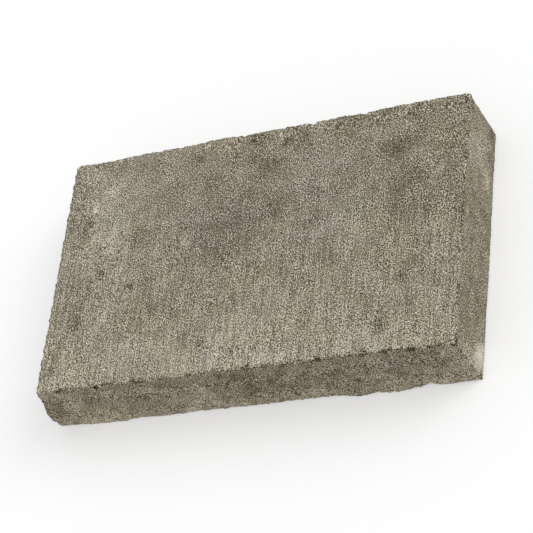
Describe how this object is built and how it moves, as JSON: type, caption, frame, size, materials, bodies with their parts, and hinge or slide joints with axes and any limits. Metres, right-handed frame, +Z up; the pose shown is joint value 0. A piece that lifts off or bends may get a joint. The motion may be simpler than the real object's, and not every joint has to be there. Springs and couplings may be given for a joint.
{
  "type": "concrete coping stone",
  "caption": "Flat rectangular concrete slab that caps the top of a wall, with one end and one long edge leaning out towards the bed.",
  "frame": {"origin": "middle of the underside's outline, on the bed that is laid on the wall", "axes": "+X along the wall towards the square end, +Y across the wall away from the leaning front face, +Z up out of the top face"},
  "size_m": [0.415, 0.2428, 0.065],
  "materials": {
    "concrete": "open-grained machine-pressed concrete, weathered warm grey"
  },
  "bodies": {
    "root": {"coping_stone": "concrete"}
  },
  "joints": []
}
